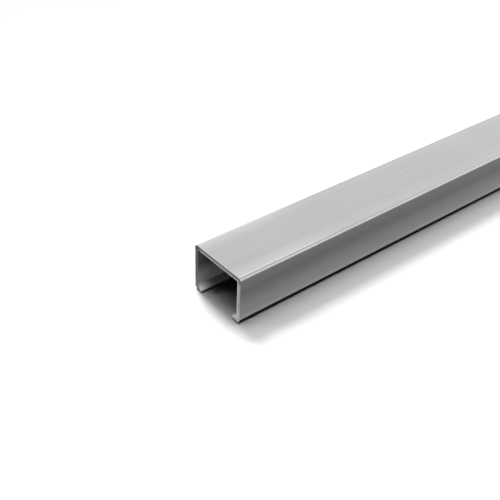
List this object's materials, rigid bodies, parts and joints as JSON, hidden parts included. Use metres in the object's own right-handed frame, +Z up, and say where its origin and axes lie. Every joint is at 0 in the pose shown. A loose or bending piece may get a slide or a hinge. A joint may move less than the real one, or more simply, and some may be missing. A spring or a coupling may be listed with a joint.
{
  "type": "lipped channel section",
  "caption": "Straight bar of metal channel with a flat web, two legs and a lip turned in along the foot of each leg.",
  "frame": {"origin": "under the middle of the bar, on the level that the two lips rest on", "axes": "+X along the bar, +Y across the web, +Z up from the open side to the web"},
  "size_m": [1, 0.05, 0.0375],
  "materials": {
    "mill_aluminium": "satin mill finish with fine lines along the bar"
  },
  "bodies": {
    "root": {"lipped_channel": "mill_aluminium"}
  },
  "joints": []
}
